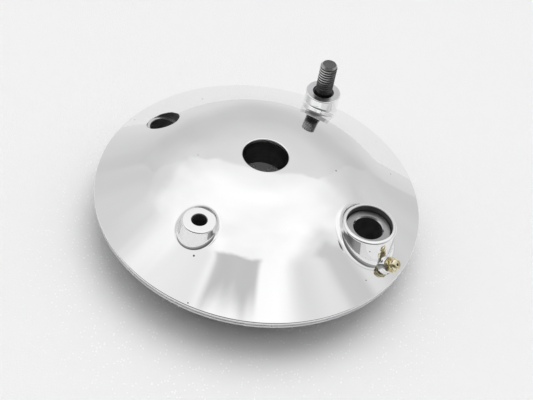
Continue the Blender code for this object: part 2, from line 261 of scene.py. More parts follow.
def round_sheet(patches, height, inside, outside, holes, side, slot):
    """Triangulated stretch of a turned surface between two radii, with round holes in plan."""
    outlines = [ring((0, 0), outside, AROUND_PLATE), ring((0, 0), inside, AROUND_PLATE // 2)]
    outlines += [ring(centre, radius, AROUND_BOSS) for centre, radius in holes]
    edges = []
    start = 0
    for outline in outlines:
        count = len(outline)
        edges += [(start + index, start + (index + 1) % count) for index in range(count)]
        start += count
    fill = []
    rows = int((outside - inside) / FINE_STEP)
    for radius in np.linspace(inside, outside, rows + 1)[1:-1]:
        fill.append(ring((0, 0), radius, int(2 * math.pi * radius / FINE_STEP)))
    fill = np.vstack(fill)
    for centre, radius in holes:
        clear = np.hypot(fill[:, 0] - centre[0], fill[:, 1] - centre[1]) > radius + FINE_STEP / 3
        fill = fill[clear]
    flat = np.vstack([*outlines, fill])
    result = delaunay_2d_cdt([Vector(point) for point in flat], edges, [], 0, 1e-6)
    flat = np.array([tuple(point) for point in result[0]])
    faces = []
    for face in result[2]:
        middle = flat[list(face)].mean(axis=0)
        inner = np.hypot(*middle) < inside
        cut = any(math.dist(middle, centre) < radius for centre, radius in holes)
        if not inner and not cut:
            faces.append(tuple(face))
    radius = np.hypot(flat[:, 0], flat[:, 1])
    slope = crown_slope(radius)
    normals = side * np.stack([-slope * flat[:, 0] / radius, -slope * flat[:, 1] / radius,
                               np.ones(len(flat))], axis=1)
    points = np.column_stack([flat, height(radius)])
    patches.add(points, normals, faces, slot)


def foot_and_wall(patches, height, boss, end, side, slots):
    """A boss's curved foot, which runs out into the surface it stands on, and its tapered wall."""
    centre, end_radius, foot_radius, outer_radius, rise, rounding = boss
    foot_slot, wall_slot = slots
    angle = np.arange(AROUND_BOSS) * 2 * math.pi / AROUND_BOSS
    spoke = np.stack([np.cos(angle), np.sin(angle)], axis=1)

    def ground(distance):
        return height(np.hypot(*(np.array(centre) + distance * spoke).T))

    low = ground(outer_radius)
    slope = (ground(outer_radius + 0.01) - ground(outer_radius - 0.01)) / 0.02
    taper = (foot_radius - end_radius) / np.abs(end - ground(foot_radius)).mean()
    corner_radius = ((end_radius + taper * side * (end - low + slope * outer_radius))
                     / (1 + taper * side * slope))
    corner = np.stack([corner_radius, low + slope * (corner_radius - outer_radius)], axis=1)
    wall_way = np.array([-taper, side]) / math.hypot(taper, 1)
    top = corner + rise * wall_way
    out = np.stack([np.full(AROUND_BOSS, outer_radius), low], axis=1)

    share = np.linspace(0, 1, 11)[:, None, None]
    section = (1 - share) ** 2 * top + 2 * share * (1 - share) * corner + share ** 2 * out
    along = 2 * (1 - share) * (corner - top) + 2 * share * (out - corner)

    def placed(section):
        plan = np.array(centre) + section[..., :1] * spoke
        return np.concatenate([plan, section[..., 1:]], axis=-1)

    points = placed(section)
    turn = np.roll(points, -1, axis=1) - np.roll(points, 1, axis=1)
    down = np.concatenate([along[..., :1] * spoke, along[..., 1:]], axis=-1)
    normals = np.cross(down, turn)
    outward = np.concatenate([np.broadcast_to(spoke, normals[..., :2].shape),
                              np.full(normals[..., :1].shape, side)], axis=-1)
    normals *= np.sign((normals * outward).sum(axis=-1, keepdims=True))
    patches.grid(points, normals, foot_slot)

    wall_normal = np.column_stack([spoke, np.full(AROUND_BOSS, taper * side)])
    wall_end = np.array([end_radius + taper * rounding, end - side * rounding])
    share = np.linspace(0, 1, 4)[:, None, None]
    wall = (1 - share) * top + share * wall_end
    patches.grid(placed(wall), np.broadcast_to(wall_normal, (4, AROUND_BOSS, 3)), wall_slot)

    arc = np.linspace(0, math.pi / 2, 7)
    profile = np.column_stack([wall_end[0] - rounding * (1 - np.cos(arc)),
                               end - side * rounding * (1 - np.sin(arc))])
    facing = np.column_stack([np.cos(arc), side * np.sin(arc)])
    patches._turn(profile, facing, wall_slot, centre, AROUND_BOSS)
    return wall_end[0] - rounding


def outer_bosses(patches):
    """The cam, stud and small bosses that are faced off in one plane."""
    for name, (centre, face, foot, spread, rise, rounding, edge) in OUTER_BOSSES.items():
        boss = (centre, face, foot, spread, rise, rounding)
        inner = foot_and_wall(patches, crown, boss, FACE_HEIGHT, 1, (POLISHED, POLISHED))
        lip = CAM_EDGE if name == "cam" else FACE_EDGE
        slot = MACHINED if name == "stud" else POLISHED
        patches.turned([(inner, FACE_HEIGHT), (edge + lip, FACE_HEIGHT)], slot, centre)
        patches.turned([(edge + lip, FACE_HEIGHT), (edge, FACE_HEIGHT - lip)], MACHINED, centre)


def inner_bosses(patches):
    """The bosses on the underside, faced at their own heights."""
    for centre, end_radius, foot, spread, rise, end, hole in INNER_BOSSES.values():
        boss = (centre, end_radius, foot, spread, rise, 0.6)
        outer = foot_and_wall(patches, underside, boss, end, -1, (CAST, CAST))
        patches.turned([(hole + END_CHAMFER, end), (outer, end)], MACHINED, centre)
        patches.turned([(hole, end + END_CHAMFER), (hole + END_CHAMFER, end)], MACHINED, centre)


def holes(patches):
    """Recess, countersink and bores between the outer and the inner bosses' faces."""
    def bore_end(name):
        return INNER_BOSSES[name][-1], INNER_BOSSES[name][-2] + END_CHAMFER

    radius, depth = CAM_RECESS
    floor = FACE_HEIGHT - depth - BUSH_FLANGE[1] - FIT
    # The recess, countersink and bore walls take the BORE slot, darkened with painted shade.
    patches.turned([(radius, FACE_HEIGHT - CAM_EDGE), (radius, floor), (bore_end("cam")[0], floor),
                    bore_end("cam")], BORE, CAM_CENTRE)
    radius, wall, cone = STUD_SINK
    patches.turned([(radius, FACE_HEIGHT - FACE_EDGE), (radius, FACE_HEIGHT - wall),
                    (STUD_HOLE, FACE_HEIGHT - cone), bore_end("stud")], BORE, STUD_CENTRE)
    patches.turned([(SMALL_HOLE + SMALL_CHAMFER, FACE_HEIGHT - FACE_EDGE),
                    (SMALL_HOLE, FACE_HEIGHT - FACE_EDGE - SMALL_CHAMFER), bore_end("small")],
                   BORE, SMALL_CENTRE)


def pivot_recess(patches):
    """Flat-bottomed recess whose edge follows the crown, and the hole in its floor."""
    radius, floor = PIVOT_RECESS
    angle = np.arange(AROUND_BOSS) * 2 * math.pi / AROUND_BOSS
    spoke = np.column_stack([np.cos(angle), np.sin(angle)])

    def edge(distance, sink):
        plan = np.array(PIVOT_CENTRE) + distance * spoke
        heights = crown(np.hypot(*plan.T)) - sink
        return np.column_stack([plan, np.maximum(heights, floor + 0.02)])

    soft = np.column_stack([-0.7 * spoke, np.full(AROUND_BOSS, 0.7)])
    inward = np.column_stack([-spoke, np.zeros(AROUND_BOSS)])
    outer, inner = edge(radius + PIVOT_EDGE, 0.0), edge(radius, PIVOT_EDGE)
    outer[:, 2] = crown(np.hypot(outer[:, 0], outer[:, 1]))
    patches.grid(np.stack([outer, inner]), np.stack([soft, soft]), POLISHED)
    base = inner.copy()
    base[:, 2] = floor
    # The recess wall takes the BORE slot, darkened with painted shade.
    patches.grid(np.stack([inner, base]), np.stack([inward, inward]), BORE)
    patches.turned([(radius, floor), (PIVOT_HOLE + PIVOT_EDGE, floor)], MACHINED, PIVOT_CENTRE)
    patches.turned([(PIVOT_HOLE + PIVOT_EDGE, floor), (PIVOT_HOLE, floor - PIVOT_EDGE),
                    (PIVOT_HOLE, INNER_BOSSES["pivot"][-2] + END_CHAMFER)], BORE, PIVOT_CENTRE)


def crown_sheets(patches):
    """The crown's outside and underside, between the bosses."""
    outer = [(boss[0], boss[3]) for boss in OUTER_BOSSES.values()]
    outer.append((PIVOT_CENTRE, PIVOT_RECESS[0] + PIVOT_EDGE))
    round_sheet(patches, crown, BORE_RADIUS + BORE_EDGE, RIM_RADIUS - RIM_EDGE, outer, 1, POLISHED)
    inner = [(boss[0], boss[3]) for boss in INNER_BOSSES.values()]
    round_sheet(patches, underside, HUB_FOOT[1], REGISTER_RADII[0], inner, -1, CAST)


def rim(patches):
    """Rounded edge, grooved lip and register."""
    edge = RIM_RADIUS - RIM_EDGE
    top = float(crown(edge))
    patches.turned([(RIM_RADIUS, RIM_TOP - 0.5), (RIM_RADIUS - 0.06, RIM_TOP - 0.2),
                    (RIM_RADIUS - 0.25, top - 0.16), (edge, top)], POLISHED,
                   around=AROUND_PLATE, soft=True)
    lip = RIM_TOP - LIP_HEIGHT
    register_in, register_out = REGISTER_RADII
    bottom = lip - REGISTER_HEIGHT
    upper, lower, depth = LIP_GROOVE
    patches.turned([(register_out, lip), (RIM_RADIUS - 0.4, lip), (RIM_RADIUS - 0.2, lip + 0.2),
                    (RIM_RADIUS - 0.2, RIM_TOP - lower - 0.1), (RIM_RADIUS - depth, RIM_TOP - lower),
                    (RIM_RADIUS - depth, RIM_TOP - upper), (RIM_RADIUS - 0.15, RIM_TOP - upper + 0.1),
                    (RIM_RADIUS, RIM_TOP - upper + 0.3), (RIM_RADIUS, RIM_TOP - 0.5)], MACHINED,
                   around=AROUND_PLATE)
    patches.turned([(register_in, float(underside(register_in))), (register_in, bottom),
                    (register_out - 0.5, bottom), (register_out, bottom + 0.5),
                    (register_out, lip)], MACHINED, around=AROUND_PLATE)


def hub(patches):
    """Crown opening with its rounded edge, shoulder, sleeve bore, end face, wall and foot."""
    shoulder = float(crown(BORE_RADIUS)) - SHOULDER
    around = AROUND_PLATE // 2
    edge = BORE_RADIUS + BORE_EDGE
    top = float(crown(edge))
    patches.turned([(edge, top), (edge - 0.35, top - 0.08), (edge - 0.6, top - 0.3),
                    (BORE_RADIUS, top - BORE_EDGE)], POLISHED, around=around, soft=True)
    patches.turned([(BORE_RADIUS, top - BORE_EDGE), (BORE_RADIUS, shoulder), (SLEEVE_BORE, shoulder),
                    (SLEEVE_BORE, HUB_CHAMFER), (SLEEVE_BORE + HUB_CHAMFER, 0.0),
                    (HUB_RADIUS - HUB_CHAMFER, 0.0), (HUB_RADIUS, HUB_CHAMFER)], MACHINED,
                   around=around)
    root, spread, rise = HUB_FOOT
    ground = float(underside(spread))
    share = np.linspace(0, 1, 9)[:, None]
    start = np.array([root, ground - rise])
    corner = np.array([root, ground])
    end = np.array([spread, ground])
    foot = (1 - share) ** 2 * start + 2 * share * (1 - share) * corner + share ** 2 * end
    patches.turned([(HUB_RADIUS, HUB_CHAMFER), *foot.tolist()], CAST, around=around, soft=True)


def webs(patches):
    """Ribs from the hub to the inner bosses, each with a rounded edge and curved feet."""
    half = WEB_WIDTH / 2
    for centre, end_radius in [boss[:2] for boss in INNER_BOSSES.values()]:
        length = math.hypot(*centre)
        way = np.array(centre) / length
        aside = np.array([-way[1], way[0]])
        stations = np.linspace(SLEEVE_BORE + WEB_LAP, length - end_radius + WEB_LAP, 24)
        sections = []
        for distance in stations:
            top = float(underside(distance)) + 0.6
            left = [(0.0, WEB_BOTTOM), (half - 1.2, WEB_BOTTOM), (half - 0.35, WEB_BOTTOM + 0.35),
                    (half, WEB_BOTTOM + 1.2), (half + 0.3, top - 3.2), (half + 1.2, top - 1.6),
                    (half + 3.0, top - 0.4), (half + 3.0, top + 0.6)]
            outline = left + [(-x, z) for x, z in reversed(left[1:])]
            sections.append([np.append(way * distance + aside * x, z) for x, z in outline])
        sections = np.array(sections)
        along = np.append(way, 0.0)
        around = np.roll(sections, -1, axis=1) - np.roll(sections, 1, axis=1)
        normals = np.cross(along, around)
        middle = sections.mean(axis=1, keepdims=True)
        normals *= np.sign((normals * (sections - middle)).sum(axis=(1, 2), keepdims=True))
        patches.grid(sections, normals, CAST)


def nipple_matrix():
    """From the nipple's own frame, +Z out of the plate, to the part's, in millimetres."""
    away, height = NIPPLE_SEAT
    heading = Vector((math.cos(NIPPLE_AZIMUTH), math.sin(NIPPLE_AZIMUTH), 0.0))
    axis = heading * math.cos(NIPPLE_TILT) + Vector((0, 0, math.sin(NIPPLE_TILT)))
    origin = Vector((*CAM_CENTRE, 0.0)) + heading * away + Vector((0, 0, height))
    return Matrix.Translation(origin) @ axis.to_track_quat("Z", "Y").to_matrix().to_4x4()


def casting(materials):
    """The whole plate but the nipple's pad, as one skin."""
    patches = Patches()
    crown_sheets(patches)
    outer_bosses(patches)
    inner_bosses(patches)
    holes(patches)
    pivot_recess(patches)
    rim(patches)
    hub(patches)
    webs(patches)
    plate = patches.build("polished_plate", materials)
    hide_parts("brake_plate")
    return plate


def nipple_pad(materials):
    """Flared pad that runs from the cam boss's foot up to the nipple's hexagon."""
    patches = Patches()
    tapped = SHANK_RADIUS + FIT
    patches.turned([(PAD_RADIUS, 0.0), (tapped, 0.0), (tapped, -4.5)], MACHINED, around=48)
    patches.turned([(8.2, -6.5), (6.6, -4.3), (5.3, -2.4), (4.5, -1.0), (4.1, -0.3),
                    (PAD_RADIUS, 0.0)], POLISHED, around=48, soft=True)
    return patches.build("nipple_pad", materials, nipple_matrix())


# ---- Fitted pieces ------------------------------------------------------------------------
def cam_bush(materials):
    """Flanged bush: its face, the edge of its bore in a brighter steel as a painted highlight, and the
    bore in painted shade.
    """
    top = FACE_HEIGHT - CAM_RECESS[1]
    flange, thickness = BUSH_FLANGE
    end = BUSH_BOTTOM
    patches = Patches()
    patches.turned([(flange, top - thickness), (flange, top - 0.25), (flange - 0.25, top),
                    (BUSH_BORE + BUSH_EDGE, top)], 0, CAM_CENTRE)
    # The chamfer takes slot 1, a brighter steel standing as a painted highlight.
    patches.turned([(BUSH_BORE + BUSH_EDGE, top), (BUSH_BORE, top - BUSH_EDGE)], 1, CAM_CENTRE)
    patches.turned([(BUSH_BORE, top - BUSH_EDGE), (BUSH_BORE, end + 0.4)], 2, CAM_CENTRE)
    patches.turned([(BUSH_BORE, end + 0.4), (BUSH_BORE + 0.4, end), (BUSH_BODY - 0.5, end),
                    (BUSH_BODY, end + 0.5), (BUSH_BODY, top - thickness),
                    (flange, top - thickness)], 0, CAM_CENTRE)
    bush = patches.build("flanged_bush", materials)
    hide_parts("cam_bush")
    return bush


def thread_ridge(phase):
    """How deep the thread is at a share of a turn: flat crest, straight flanks, flat root."""
    wave = abs(phase % 1.0 - 0.5) * 2
    return THREAD_DEPTH * min(1.0, max(0.0, (wave - THREAD_FLAT) / (1 - 2 * THREAD_FLAT)))


def anchor_stud(material):
    """Threaded end, plain shank and the collar behind the plate with its two flats."""
    patches = Patches()
    around = 64
    per_turn = 12
    chamfer, shrink = STUD_CHAMFER
    low = STUD_TOP - THREAD_LENGTH
    turns = int(THREAD_LENGTH / THREAD_PITCH) + 2
    rows = []
    for row in range(turns * per_turn + 1):
        line = []
        for column in range(around + 1):
            height = low + THREAD_PITCH * (row / per_turn + column / around - 1)
            fade = min(1.0, max(0.0, (height - low) / THREAD_PITCH))
            height = min(max(height, low), STUD_TOP)
            limit = STUD_RADIUS - max(0.0, height - (STUD_TOP - chamfer)) * shrink
            radius = min(STUD_RADIUS - fade * thread_ridge(row / per_turn), limit)
            angle = 2 * math.pi * column / around
            line.append((STUD_CENTRE[0] + radius * math.cos(angle),
                         STUD_CENTRE[1] + radius * math.sin(angle), height))
        rows.append(line)
    rows = np.array(rows)
    along = np.gradient(rows, axis=0)
    across = np.gradient(rows, axis=1)
    normals = np.cross(across, along)
    spoke = rows - np.array([*STUD_CENTRE, 0.0])
    spoke[..., 2] = 0.0
    flat = np.linalg.norm(normals, axis=-1, keepdims=True) < 1e-9
    normals = np.where(flat, spoke, normals)
    columns = around + 1
    faces = [(row * columns + column, row * columns + column + 1,
              (row + 1) * columns + column + 1, (row + 1) * columns + column)
             for row in range(len(rows) - 1) for column in range(around)]
    patches.add(rows.reshape(-1, 3), normals.reshape(-1, 3), faces, 0)

    tip = STUD_RADIUS - chamfer * shrink
    patches.turned([(tip, STUD_TOP), (tip * 0.5, STUD_TOP), (0.02, STUD_TOP)], 0, STUD_CENTRE, around)
    collar_top = STUD_INNER_END - FIT
    patches.turned([(STUD_RADIUS, collar_top), (STUD_RADIUS, low)], 0, STUD_CENTRE, around)

    collar_radius, thickness, flat_half = STUD_COLLAR
    outline = [(min(max(collar_radius * math.cos(angle), -flat_half), flat_half),
                collar_radius * math.sin(angle))
               for angle in np.arange(around) * 2 * math.pi / around]
    outline = np.array(outline)
    bottom = collar_top - thickness
    levels = [(0.02, collar_top), (1.0, collar_top), (1.0, bottom + 0.7), (0.92, bottom),
              (0.02, bottom)]
    for (scale_a, level_a), (scale_b, level_b) in zip(levels, levels[1:]):
        pair = np.stack([np.column_stack([outline * scale + STUD_CENTRE,
                                          np.full(around, level)])
                         for scale, level in ((scale_a, level_a), (scale_b, level_b))])
        middle = np.array([*STUD_CENTRE, bottom + thickness / 2])
        side = np.cross(np.roll(pair, -1, axis=1) - pair, pair[1] - pair[0])
        side *= np.sign((side * (pair - middle)).sum(axis=-1, keepdims=True))
        patches.grid(pair, side, 0)
    stud = patches.build("threaded_stud", [material])
    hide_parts("anchor_stud")
    return stud


def nipple(material):
    """Shank, chamfered hexagon, neck and round head, hollow down its middle."""
    patches = Patches()
    around = 60
    patches.turned([(CHAMBER_RADIUS, -SHANK_LENGTH), (SHANK_RADIUS - 0.4, -SHANK_LENGTH),
                    (SHANK_RADIUS, -SHANK_LENGTH + 0.4), (SHANK_RADIUS, HEX_HEIGHT - 0.2)], 0,
                   around=around)
    head = [(2.32, -2.9), (2.5, -2.7), (2.95, -2.4), (3.18, -2.1), (HEAD_RADIUS, -1.75),
            (HEAD_RADIUS - 0.03, -1.3), (HEAD_RADIUS - 0.25, -0.8), (2.6, -0.35), (1.9, -0.06),
            (HEAD_FACE, 0.0)]
    patches.turned([(3.3, HEX_HEIGHT), (2.75, HEX_HEIGHT + 0.1), (2.4, HEX_HEIGHT + 0.35),
                    *((radius, HEAD_TOP + below) for radius, below in head)], 0,
                   around=around, soft=True)
    patches.turned([(HEAD_FACE, HEAD_TOP), (TIP_RADIUS, HEAD_TOP), (TIP_RADIUS, HEAD_TOP - 0.4),
                    (CHAMBER_RADIUS, HEAD_TOP - 1.5), (CHAMBER_RADIUS, -SHANK_LENGTH)], 0,
                   around=around)

    angle = np.arange(around) * 2 * math.pi / around
    sixth = math.pi / 3
    turn = math.radians(15)
    apothem = HEX_RADIUS * math.cos(sixth / 2)
    flat_radius = apothem / np.cos((angle - turn) % sixth - sixth / 2)
    spoke = np.column_stack([np.cos(angle), np.sin(angle)])
    middle = np.round((angle - turn) / sixth - 0.5) * sixth + turn + sixth / 2
    flats = np.column_stack([np.cos(middle), np.sin(middle), np.zeros(around)])
    chamfer = np.minimum(flat_radius, apothem + 0.12)
    drop = (flat_radius - chamfer) * 0.55
    up = np.tile([0.0, 0.0, 1.0], (around, 1))

    def level(radius, height):
        return np.column_stack([spoke * np.reshape(radius, (-1, 1)), np.broadcast_to(height, around)])

    foot, top = FIT, HEX_HEIGHT
    cone = np.column_stack([spoke * 0.5, np.full(around, 0.87)])
    patches.grid(np.stack([level(flat_radius, foot + drop), level(flat_radius, top - drop)]),
                 np.stack([flats, flats]), 0)
    patches.grid(np.stack([level(flat_radius, top - drop), level(chamfer, top)]),
                 np.stack([cone, cone]), 0)
    patches.grid(np.stack([level(chamfer, top), level(np.full(around, 2.2), top)]),
                 np.stack([up, up]), 0)
    patches.grid(np.stack([level(flat_radius, foot + drop), level(chamfer, foot)]),
                 np.stack([cone, cone]) * (1, 1, -1), 0)
    patches.grid(np.stack([level(chamfer, foot), level(np.full(around, 2.2), foot)]),
                 np.stack([-up, -up]), 0)
    made = patches.build("grease_nipple", [material], nipple_matrix())
    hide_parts("nipple_body")
    return made


# ---- Materials ----------------------------------------------------------------------------
class Shader:
    """A principled material and short ways to add nodes to it."""

    def __init__(self, name, colour, metallic, roughness):
        self.material = bpy.data.materials.new(name)
        self.material.use_nodes = True
        self.tree = self.material.node_tree
        self.surface = self.tree.nodes["Principled BSDF"]
        self.surface.inputs["Base Color"].default_value = (*colour, 1.0)
        self.surface.inputs["Metallic"].default_value = metallic
        self.surface.inputs["Roughness"].default_value = roughness
        self.place = self.tree.nodes.new("ShaderNodeTexCoord").outputs["Object"]

    def link(self, source, target):
        self.tree.links.new(source, target)

    def noise(self, scale, detail=2.0, roughness=0.5, stretch=None):
        node = self.tree.nodes.new("ShaderNodeTexNoise")
        node.inputs["Scale"].default_value = scale
        node.inputs["Detail"].default_value = detail
        node.inputs["Roughness"].default_value = roughness
        place = self.place
        if stretch:
            mapping = self.tree.nodes.new("ShaderNodeMapping")
            mapping.inputs["Scale"].default_value = stretch
            self.link(place, mapping.inputs["Vector"])
            place = mapping.outputs["Vector"]
        self.link(place, node.inputs["Vector"])
        return node.outputs["Fac"]

    def remap(self, value, low, high, to_low, to_high):
        node = self.tree.nodes.new("ShaderNodeMapRange")
        node.inputs["From Min"].default_value = low
        node.inputs["From Max"].default_value = high
        node.inputs["To Min"].default_value = to_low
        node.inputs["To Max"].default_value = to_high
        self.link(value, node.inputs["Value"])
        return node.outputs["Result"]

    def math(self, operation, first, second):
        node = self.tree.nodes.new("ShaderNodeMath")
        node.operation = operation
        self.link(first, node.inputs[0])
        self.link(second, node.inputs[1])
        return node.outputs["Value"]

    def vector(self, operation, first, second=None):
        """A vector operation on an output and, where it takes two, on a fixed vector."""
        node = self.tree.nodes.new("ShaderNodeVectorMath")
        node.operation = operation
        self.link(first, node.inputs[0])
        if second:
            node.inputs[1].default_value = second
        gives_number = operation in ("LENGTH", "DISTANCE", "DOT_PRODUCT")
        return node.outputs["Value" if gives_number else "Vector"]

    def colours(self, value, first, second):
        node = self.tree.nodes.new("ShaderNodeMix")
        node.data_type = "RGBA"
        node.inputs["A"].default_value = (*first, 1.0)
        node.inputs["B"].default_value = (*second, 1.0)
        self.link(value, node.inputs["Factor"])
        return node.outputs["Result"]

    def bump(self, value, depth, before=None):
        """Adds relief of a depth in millimetres, over what came before."""
        node = self.tree.nodes.new("ShaderNodeBump")
        node.inputs["Strength"].default_value = 1.0
        node.inputs["Distance"].default_value = depth * MM
        self.link(value, node.inputs["Height"])
        if before:
            self.link(before, node.inputs["Normal"])
        return node.outputs["Normal"]

    def finish(self, colour=None, roughness=None, normal=None):
        if colour:
            self.link(colour, self.surface.inputs["Base Color"])
        if roughness:
            self.link(roughness, self.surface.inputs["Roughness"])
        if normal:
            self.link(normal, self.surface.inputs["Normal"])
        return self.material


def specks(shader, scale, share, size):
    """1 in a share of the cells of a scattered pattern, within a radius of each cell's middle."""
    cells = shader.tree.nodes.new("ShaderNodeTexVoronoi")
    cells.inputs["Scale"].default_value = scale
    shader.link(shader.place, cells.inputs["Vector"])
    parts = shader.tree.nodes.new("ShaderNodeSeparateColor")
    shader.link(cells.outputs["Color"], parts.inputs["Color"])
    chosen = shader.remap(parts.outputs["Red"], 1.0 - share, 1.001 - share, 0.0, 1.0)
    close = shader.remap(cells.outputs["Distance"], size * 0.7, size, 1.0, 0.0)
    return shader.math("MULTIPLY", chosen, close)


def polished_aluminium():
    shader = Shader("polished_aluminium", (0.89, 0.89, 0.892), 1.0, 0.04)
    pores = specks(shader, 90.0, 0.5, 0.06)
    colour = shader.colours(pores, (0.89, 0.89, 0.892), (0.10, 0.10, 0.11))
    haze = shader.noise(35.0, 4.0, 0.6)
    roughness = shader.remap(haze, 0.35, 0.7, 0.02, 0.06)
    waves = shader.bump(shader.noise(16.0, 1.0), 0.07)
    ripples = shader.bump(shader.noise(75.0, 2.0), 0.004, waves)
    lines = shader.bump(shader.noise(900.0, 2.0, 0.5, (1.0, 0.12, 1.0)), 0.0006, ripples)
    return shader.finish(colour, roughness, lines)


def machined_aluminium():
    shader = Shader("machined_aluminium", (0.66, 0.66, 0.67), 1.0, 0.28)
    tone = shader.noise(60.0, 3.0)
    colour = shader.colours(tone, (0.56, 0.56, 0.57), (0.76, 0.76, 0.77))
    roughness = shader.remap(shader.noise(220.0, 3.0), 0.3, 0.7, 0.22, 0.38)
    normal = shader.bump(shader.noise(1400.0, 2.0, 0.5, (1.0, 1.0, 3.0)), 0.006)
    return shader.finish(colour, roughness, normal)


def cast_aluminium():
    shader = Shader("cast_aluminium", (0.38, 0.38, 0.385), 1.0, 0.5)
    tone = shader.noise(28.0, 5.0, 0.6)
    colour = shader.colours(tone, (0.28, 0.28, 0.285), (0.46, 0.46, 0.465))
    roughness = shader.remap(shader.noise(90.0, 3.0), 0.3, 0.7, 0.42, 0.6)
    grain = shader.bump(shader.noise(650.0, 5.0, 0.65), 0.12)
    return shader.finish(colour, roughness, grain)


def painted_shade_bore():
    """Bored walls and recesses darkened with painted shade."""
    shader = Shader("painted_shade_bore", (0.12, 0.12, 0.12), 0.6, 0.5)
    tone = shader.noise(160.0, 4.0, 0.6)
    colour = shader.colours(tone, (0.06, 0.06, 0.06), (0.20, 0.20, 0.20))
    return shader.finish(colour, None, shader.bump(tone, 0.02))


def worn_and_highlit_crests(shader):
    """How much the blacking's wear and a painted highlight lighten it: on the thread's crests near the
    tip, with the painted highlight strongest on the side facing the camera, on the chamfer and a
    little on the end face."""
    from_axis = shader.vector("SUBTRACT", shader.place, (*(MM * x for x in STUD_CENTRE), 0.0))
    axes = shader.tree.nodes.new("ShaderNodeSeparateXYZ")
    shader.link(from_axis, axes.inputs["Vector"])
    height = axes.outputs["Z"]
    flat = shader.vector("MULTIPLY", from_axis, (1.0, 1.0, 0.0))
    reach = shader.vector("LENGTH", flat)
    aside = shader.vector("DOT_PRODUCT", flat, (-0.5, -0.87, 0.0))
    radius = STUD_RADIUS * MM

    def by_depth(below, above, to_low, to_high):
        return shader.remap(height, (STUD_TOP - below) * MM, (STUD_TOP - above) * MM, to_low, to_high)

    crests = shader.remap(reach, radius - 0.3 * MM, radius - 0.1 * MM, 0.0, 1.0)
    # Painted highlight: brighter on the side that faces the camera.
    highlit_side = shader.remap(aside, radius * 0.55, radius * 0.95, 0.15, 1.6)
    near_tip = by_depth(14.0, 8.0, 0.0, 1.0)
    worn_and_highlit = shader.math("MULTIPLY", shader.math("MULTIPLY", crests, near_tip), highlit_side)
    chamfer = by_depth(1.4, 1.1, 0.0, 0.42)
    end_face = by_depth(0.1, 0.02, 1.0, 0.25)
    return shader.math("MAXIMUM", worn_and_highlit, shader.math("MULTIPLY", chamfer, end_face))


def blackened_steel():
    shader = Shader("blackened_steel", (0.10, 0.10, 0.10), 1.0, 0.3)
    tone = shader.noise(260.0, 3.0, 0.5)
    dull = shader.colours(shader.remap(tone, 0.45, 0.8, 0.0, 1.0), (0.06, 0.06, 0.06),
                          (0.11, 0.108, 0.105))
    colour = shader.tree.nodes.new("ShaderNodeMix")
    colour.data_type = "RGBA"
    # Light grey for bare steel where the blacking is worn, mixed with painted highlight.
    colour.inputs["B"].default_value = (0.9, 0.9, 0.9, 1.0)
    shader.link(dull, colour.inputs["A"])
    shader.link(worn_and_highlit_crests(shader), colour.inputs["Factor"])
    roughness = shader.remap(shader.noise(420.0, 3.0), 0.3, 0.7, 0.22, 0.38)
    return shader.finish(colour.outputs["Result"], roughness)


def sleeve_steel():
    shader = Shader("sleeve_steel", (0.12, 0.12, 0.12), 1.0, 0.4)
    rings = shader.noise(500.0, 2.0, 0.5, (0.1, 0.1, 1.0))
    colour = shader.colours(rings, (0.08, 0.08, 0.08), (0.18, 0.18, 0.18))
    roughness = shader.remap(shader.noise(160.0, 3.0), 0.3, 0.7, 0.35, 0.5)
    return shader.finish(colour, roughness, shader.bump(rings, 0.01))


def bush_steel():
    shader = Shader("bush_steel", (0.40, 0.40, 0.405), 1.0, 0.3)
    tone = shader.noise(240.0, 4.0)
    colour = shader.colours(tone, (0.33, 0.33, 0.335), (0.47, 0.47, 0.475))
    roughness = shader.remap(shader.noise(500.0, 2.0), 0.3, 0.7, 0.28, 0.4)
    return shader.finish(colour, roughness, shader.bump(tone, 0.004))


def nipple_brass():
    shader = Shader("nipple_brass", (0.62, 0.53, 0.28), 1.0, 0.2)
    tone = shader.noise(420.0, 3.0, 0.5)
    colour = shader.colours(shader.remap(tone, 0.36, 0.50, 0.0, 1.0), (0.45, 0.38, 0.20),
                            (0.88, 0.81, 0.58))
    roughness = shader.remap(tone, 0.4, 0.7, 0.2, 0.12)
    return shader.finish(colour, roughness, shader.bump(tone, 0.006))


def bright_steel():
    # Bright steel for the nipple's small inner parts; on the bush's chamfer it stands as a painted
    # highlight.
    shader = Shader("bright_steel", (0.62, 0.62, 0.64), 1.0, 0.18)
    roughness = shader.remap(shader.noise(900.0, 2.0), 0.3, 0.7, 0.12, 0.24)
    return shader.finish(None, roughness)


def repaint(node, material):
    """Gives a carried-over CAD node its material."""
    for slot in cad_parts[node].material_slots:
        slot.material = material


# ---- Floor, light and camera --------------------------------------------------------------
def floor():
    """Pale sheet with glowing specks round the part, painted glints where its shadow falls."""
    shader = Shader("pale_floor", (0.93, 0.93, 0.93), 0.0, 0.55)
    cloud = shader.noise(3.0, 4.0, 0.6)
    colour = shader.colours(cloud, (0.91, 0.91, 0.912), (0.945, 0.945, 0.945))
    sparkle = shader.bump(shader.noise(1100.0, 3.0, 0.7), 0.35)
    # Glowing specks as painted glints, kept to the shaded ground close to the part.
    away = shader.vector("DISTANCE", shader.place, (0.0, -0.03, 0.0))
    close_by = shader.remap(away, 0.10, 0.14, 0.22, 0.0)
    painted_glints = shader.math("MULTIPLY", specks(shader, 650.0, 0.25, 0.28), close_by)
    shader.surface.inputs["Emission Color"].default_value = (1.0, 1.0, 1.0, 1.0)
    shader.link(painted_glints, shader.surface.inputs["Emission Strength"])
    material = shader.finish(colour, None, sparkle)
    sheet = bmesh.new()
    bmesh.ops.create_grid(sheet, x_segments=2, y_segments=2, size=6.0)
    mesh = bpy.data.meshes.new("floor")
    sheet.to_mesh(mesh)
    sheet.free()
    mesh.materials.append(material)
    made = bpy.data.objects.new("floor", mesh)
    bpy.context.scene.collection.objects.link(made)


